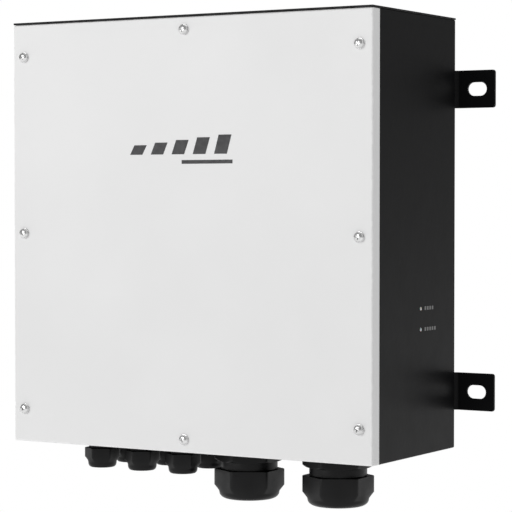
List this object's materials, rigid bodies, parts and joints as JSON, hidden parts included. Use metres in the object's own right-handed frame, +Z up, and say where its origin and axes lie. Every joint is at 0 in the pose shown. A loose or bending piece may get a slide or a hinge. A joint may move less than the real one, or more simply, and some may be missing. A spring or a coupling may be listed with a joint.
{
  "type": "wall-mounted solar inverter switching box",
  "caption": "Wall-mounted sheet-metal switching box of a solar inverter system: screwed light cover, cable glands below, slotted wall ears, breakers and contactors inside.",
  "frame": {"origin": "middle of the four wall slots, on the wall plane", "axes": "+Z up, +Y into the wall, +X to the right as seen facing the cover"},
  "size_m": [0.477, 0.1819, 0.4631],
  "materials": {
    "black_paint": "fine-textured powder coat, satin",
    "grey_paint": "light grey powder coat, satin",
    "zinc_steel": "zinc plated, lightly brushed",
    "bright_screw": "bright zinc plated",
    "black_nylon": "satin moulded nylon",
    "black_rubber": "matte",
    "foam": "fine closed-cell foam",
    "dark_print": "screen printed ink",
    "grey_print": "screen printed ink",
    "lamp_clear": "frosted clear plastic",
    "green_board": "solder mask",
    "device_grey": "fine-grained moulded plastic",
    "device_black": "fine-grained moulded plastic",
    "lever_blue": "moulded plastic",
    "key_yellow": "moulded plastic",
    "iron_core": "stacked laminations",
    "copper": "enamelled winding",
    "carrier_green": "moulded plastic",
    "terminal_grey": "fine-grained moulded plastic",
    "brass_bar": "drawn bar",
    "relay_blue": "moulded plastic",
    "capacitor_sleeve": "shrink sleeve",
    "ferrite": "ground ferrite",
    "plug_green": "moulded plastic",
    "duct_grey": "extruded plastic",
    "wire_brown": "wire insulation",
    "wire_red": "wire insulation",
    "wire_earth": "wire insulation"
  },
  "bodies": {
    "enclosure": {"body_shell": "black_paint", "rain_hood": "black_paint", "front_frame": "black_paint", "clinch_nuts": "zinc_steel", "upper_wall_strap": "black_paint", "lower_wall_strap": "black_paint", "strap_screws": "zinc_steel", "large_gland_bodies": "black_nylon", "small_gland_bodies": "black_nylon", "gland_seals": "black_rubber", "gland_lock_nuts": "black_nylon", "gland_inserts": "black_rubber", "status_marks": "grey_print", "light_pipes": "lamp_clear", "lamp_board": "green_board", "mounting_plate": "zinc_steel", "hex_spacers": "zinc_steel", "plate_nuts": "zinc_steel", "din_rails": "zinc_steel", "residual_breaker": "device_grey", "line_breaker": "device_grey", "control_breaker": "device_grey", "contactor_bases": "device_grey", "contactor_cores": "iron_core", "contactor_coils": "copper", "contactor_covers": "device_black", "field_terminals": "terminal_grey", "terminal_screws": "bright_screw", "earth_bar": "brass_bar", "earth_bar_screws": "bright_screw", "control_board": "green_board", "board_screws": "bright_screw", "board_relays": "relay_blue", "board_capacitors": "capacitor_sleeve", "board_transformer": "ferrite", "board_plugs": "plug_green", "wire_duct": "duct_grey", "duct_cover": "duct_grey", "power_wires": "wire_brown", "control_wires": "wire_red", "earth_wires": "wire_earth"},
    "cover": {"front_cover": "grey_paint", "cover_gasket": "foam", "cover_screws": "bright_screw", "screw_washers": "bright_screw", "front_mark": "dark_print"},
    "large_nut_1": {"large_dome_nut_1": "black_nylon"},
    "large_nut_2": {"large_dome_nut_2": "black_nylon"},
    "small_nut_1": {"small_dome_nut_1": "black_nylon"},
    "small_nut_2": {"small_dome_nut_2": "black_nylon"},
    "small_nut_3": {"small_dome_nut_3": "black_nylon"},
    "small_nut_4": {"small_dome_nut_4": "black_nylon"},
    "small_nut_5": {"small_dome_nut_5": "black_nylon"},
    "small_nut_6": {"small_dome_nut_6": "black_nylon"},
    "residual_lever": {"residual_toggle": "lever_blue"},
    "line_lever": {"line_toggle": "device_black"},
    "control_lever": {"control_toggle": "device_black"},
    "test_key": {"test_button": "key_yellow"},
    "contactor_carrier_1_body": {"contactor_carrier_1": "carrier_green"},
    "contactor_carrier_2_body": {"contactor_carrier_2": "carrier_green"}
  },
  "joints": [
    {"name": "cover_off", "type": "slide", "parent": "enclosure", "child": "cover", "axis": [0, -1, 0], "range_m": [0, 0.26]},
    {"name": "large_nut_1_turn", "type": "hinge", "parent": "enclosure", "child": "large_nut_1", "pos_m": [0.0203, -0.0925, -0.229], "axis": [0, 0, 1], "range_deg": [0, 1080]},
    {"name": "large_nut_2_turn", "type": "hinge", "parent": "enclosure", "child": "large_nut_2", "pos_m": [0.1187, -0.0925, -0.229], "axis": [0, 0, 1], "range_deg": [0, 1080]},
    {"name": "small_nut_1_turn", "type": "hinge", "parent": "enclosure", "child": "small_nut_1", "pos_m": [-0.1366, -0.117, -0.213], "axis": [0, 0, 1], "range_deg": [0, 1080]},
    {"name": "small_nut_2_turn", "type": "hinge", "parent": "enclosure", "child": "small_nut_2", "pos_m": [-0.0886, -0.117, -0.213], "axis": [0, 0, 1], "range_deg": [0, 1080]},
    {"name": "small_nut_3_turn", "type": "hinge", "parent": "enclosure", "child": "small_nut_3", "pos_m": [-0.0406, -0.117, -0.213], "axis": [0, 0, 1], "range_deg": [0, 1080]},
    {"name": "small_nut_4_turn", "type": "hinge", "parent": "enclosure", "child": "small_nut_4", "pos_m": [-0.1366, -0.068, -0.213], "axis": [0, 0, 1], "range_deg": [0, 1080]},
    {"name": "small_nut_5_turn", "type": "hinge", "parent": "enclosure", "child": "small_nut_5", "pos_m": [-0.0886, -0.068, -0.213], "axis": [0, 0, 1], "range_deg": [0, 1080]},
    {"name": "small_nut_6_turn", "type": "hinge", "parent": "enclosure", "child": "small_nut_6", "pos_m": [-0.0406, -0.068, -0.213], "axis": [0, 0, 1], "range_deg": [0, 1080]},
    {"name": "residual_switch", "type": "hinge", "parent": "enclosure", "child": "residual_lever", "pos_m": [-0.108, -0.088, 0.133], "axis": [1, 0, 0], "range_deg": [0, 80]},
    {"name": "line_switch", "type": "hinge", "parent": "enclosure", "child": "line_lever", "pos_m": [-0.044, -0.088, 0.133], "axis": [1, 0, 0], "range_deg": [0, 80]},
    {"name": "control_switch", "type": "hinge", "parent": "enclosure", "child": "control_lever", "pos_m": [0.011, -0.088, 0.133], "axis": [1, 0, 0], "range_deg": [0, 80]},
    {"name": "test_press", "type": "slide", "parent": "enclosure", "child": "test_key", "axis": [0, 1, 0], "range_m": [0, 0.0012], "stiffness_N_per_m": 1500, "springref_m": -0.0006},
    {"name": "contactor_1_pull", "type": "slide", "parent": "enclosure", "child": "contactor_carrier_1_body", "axis": [0, 1, 0], "range_m": [0, 0.004], "stiffness_N_per_m": 2000, "springref_m": -0.002},
    {"name": "contactor_2_pull", "type": "slide", "parent": "enclosure", "child": "contactor_carrier_2_body", "axis": [0, 1, 0], "range_m": [0, 0.004], "stiffness_N_per_m": 2000, "springref_m": -0.002}
  ]
}
